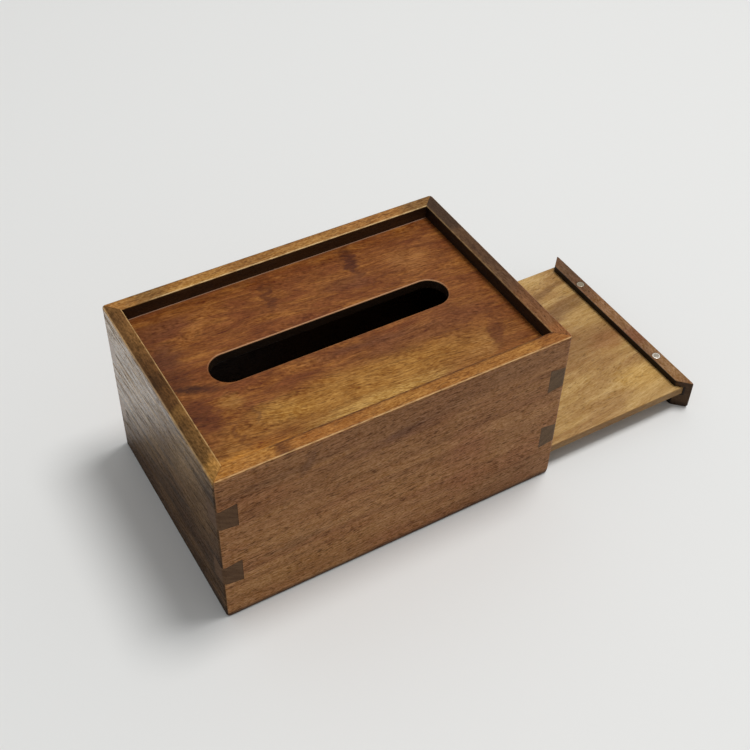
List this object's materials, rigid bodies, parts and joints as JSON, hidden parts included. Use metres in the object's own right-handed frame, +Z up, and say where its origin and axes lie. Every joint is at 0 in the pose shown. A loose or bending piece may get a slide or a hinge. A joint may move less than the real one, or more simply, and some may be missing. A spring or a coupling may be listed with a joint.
{
  "type": "tissue box",
  "caption": "Wooden tissue box with mitred corners locked by dovetail keys, a recessed slotted top and a base that slides out for refilling and is held shut by magnets.",
  "frame": {"origin": "middle of the outline on the table, with the base drawn out as at rest", "axes": "+X the way the base slides out, +Y to the back, +Z up"},
  "size_m": [0.3034, 0.1366, 0.105],
  "materials": {
    "walnut_wall": "oiled walnut, satin, open pores",
    "walnut_top": "oiled walnut, red-brown with golden figure, satin",
    "walnut_key": "oiled dark walnut end grain, flush with the walls",
    "walnut_base": "oiled pale sapwood with brown streaks, satin",
    "walnut_strip": "oiled walnut, satin",
    "magnet_plating": "nickel plating"
  },
  "bodies": {
    "case": {"front_wall": "walnut_wall", "right_wall": "walnut_wall", "back_wall": "walnut_wall", "left_wall": "walnut_wall", "top_panel": "walnut_top", "front_left_lower_key": "walnut_key", "front_left_upper_key": "walnut_key", "front_right_lower_key": "walnut_key", "front_right_upper_key": "walnut_key", "back_right_lower_key": "walnut_key", "back_right_upper_key": "walnut_key", "back_left_lower_key": "walnut_key", "back_left_upper_key": "walnut_key", "front_wall_magnet": "magnet_plating", "back_wall_magnet": "magnet_plating"},
    "base": {"base_panel": "walnut_base", "base_strip": "walnut_strip", "front_strip_magnet": "magnet_plating", "back_strip_magnet": "magnet_plating"}
  },
  "joints": [
    {"name": "base_slide", "type": "slide", "parent": "case", "child": "base", "axis": [1, 0, 0], "range_m": [-0.1035, 0.08]}
  ]
}
